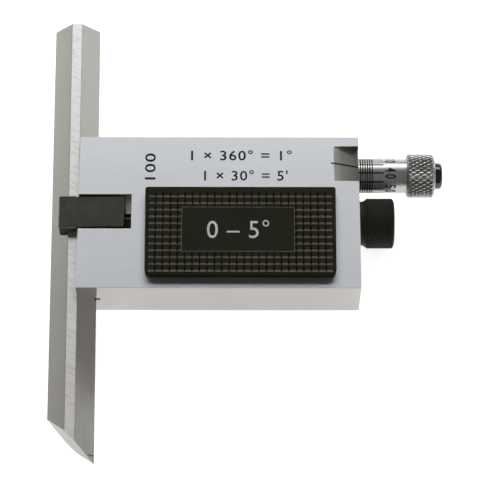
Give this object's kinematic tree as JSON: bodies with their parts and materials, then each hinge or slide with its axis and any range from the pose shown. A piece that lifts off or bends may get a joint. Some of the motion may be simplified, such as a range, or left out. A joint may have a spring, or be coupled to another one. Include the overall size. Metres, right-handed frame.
{
  "type": "adjustable square",
  "caption": "Knife-edge square whose double-edged blade is clamped across the grooved end of a steel stock, tilted by a micrometer thimble and locked by a knurled knob.",
  "frame": {"origin": "centre of the back grip pad's outer face, on which the square lies", "axes": "+X along the stock towards the micrometer, +Y along the blade towards its square end, +Z out of the front face"},
  "size_m": [0.0837, 0.1004, 0.0166],
  "materials": {
    "ground_steel": "fine ground",
    "blade_steel": "ground and lapped",
    "tool_steel": "turned",
    "spring_steel": "drawn wire",
    "black_oxide": "black oxide",
    "screw_black": "black oxide",
    "satin_chrome": "satin",
    "knurl_steel": "diamond knurl",
    "grip_black": "moulded pyramids",
    "plate_black": "smooth satin",
    "knob_black": "fine knurl",
    "cap_black": "gloss"
  },
  "bodies": {
    "stock": {"stock_block": "ground_steel", "front_grip_pad": "grip_black", "back_grip_pad": "grip_black", "front_label_plate": "plate_black", "back_label_plate": "plate_black", "spindle_bush": "tool_steel", "adjusting_nut": "tool_steel", "bush_lock_screw": "screw_black", "shoe_guide_screw": "screw_black", "draw_spring": "spring_steel"},
    "draw_rod": {"draw_rod": "tool_steel"},
    "yoke": {"clamp_yoke": "black_oxide", "yoke_pin": "tool_steel"},
    "blade": {"blade": "blade_steel"},
    "shoe": {"thrust_shoe": "tool_steel", "thrust_ball": "tool_steel"},
    "thimble": {"spindle": "tool_steel", "thimble_sleeve": "satin_chrome", "thimble_grip": "knurl_steel", "thimble_cap": "cap_black"},
    "thrust_ring": {"knob_thrust_ring": "knob_black"},
    "knob": {"clamp_knob": "knob_black", "knob_insert": "tool_steel"}
  },
  "joints": [
    {"name": "rod_slide", "type": "slide", "parent": "stock", "child": "draw_rod", "axis": [-1, 0, 0], "range_m": [-0.0002, 0.00132], "deforming": ["draw_spring"]},
    {"name": "yoke_swing", "type": "hinge", "parent": "draw_rod", "child": "yoke", "pos_m": [-0.0275, 0.0051, 0.0083], "axis": [0, 0, 1], "range_deg": [-0.67, 4.33]},
    {"name": "blade_slide", "type": "slide", "parent": "yoke", "child": "blade", "axis": [-0.0116, 0.9999, 0], "range_m": [-0.025, 0.025]},
    {"name": "shoe_slide", "type": "slide", "parent": "stock", "child": "shoe", "axis": [-1, 0, 0], "range_m": [-0.00033, 0.00217]},
    {"name": "thimble_turn", "type": "hinge", "parent": "shoe", "child": "thimble", "pos_m": [0.0251, 0.01635, 0.0083], "axis": [-1, 0, 0], "range_deg": [-240.1, 1560.1]},
    {"name": "ring_slide", "type": "slide", "parent": "stock", "child": "thrust_ring", "axis": [1, 0, 0], "range_m": [0, 0.0007]},
    {"name": "knob_turn", "type": "hinge", "parent": "thrust_ring", "child": "knob", "pos_m": [0.0251, 0.0051, 0.0083], "axis": [1, 0, 0], "range_deg": [0, 360.1]}
  ],
  "couplings": [
    {"joint": "thimble_turn", "follows": "shoe_slide", "rad_per_m": 12564},
    {"joint": "rod_slide", "follows": "shoe_slide", "ratio": 0.60727},
    {"joint": "yoke_swing", "follows": "shoe_slide", "rad_per_m": 34.9},
    {"joint": "knob_turn", "follows": "ring_slide", "rad_per_m": 8976}
  ]
}
